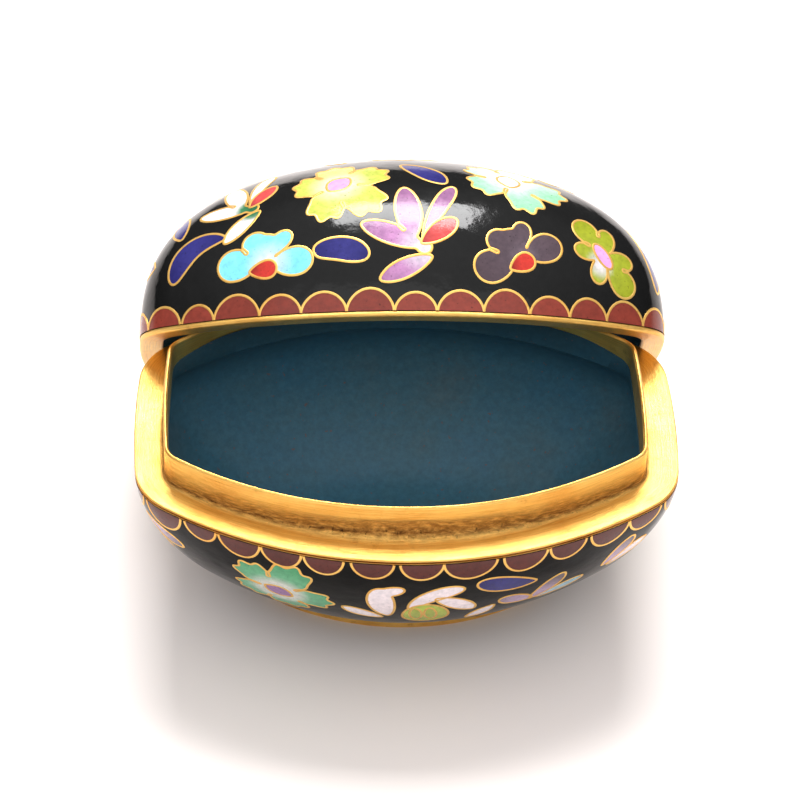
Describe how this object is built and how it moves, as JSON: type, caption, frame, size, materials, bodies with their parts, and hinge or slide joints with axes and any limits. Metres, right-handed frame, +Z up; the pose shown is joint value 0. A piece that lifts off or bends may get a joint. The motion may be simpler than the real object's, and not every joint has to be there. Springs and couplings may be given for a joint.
{
  "type": "cloisonne enamel box",
  "caption": "Cushion-shaped cloisonne enamel box on a low gilt foot, open, with its loose domed lid leaning behind the base.",
  "frame": {"origin": "on the floor, at the middle of the rectangle that the base and the leaning lid cover together", "axes": "+Z up, -Y towards the open front of the base, the lid on the +Y side, X along the box's long sides"},
  "size_m": [0.09, 0.0908, 0.0598],
  "materials": {
    "enamel": "gloss",
    "gilt": "polished and worn"
  },
  "bodies": {
    "root": {"base_bowl": "enamel", "base_rim": "gilt", "base_collar": "gilt", "foot_ring": "gilt", "lid_shell": "enamel", "lid_rim": "gilt"}
  },
  "joints": []
}
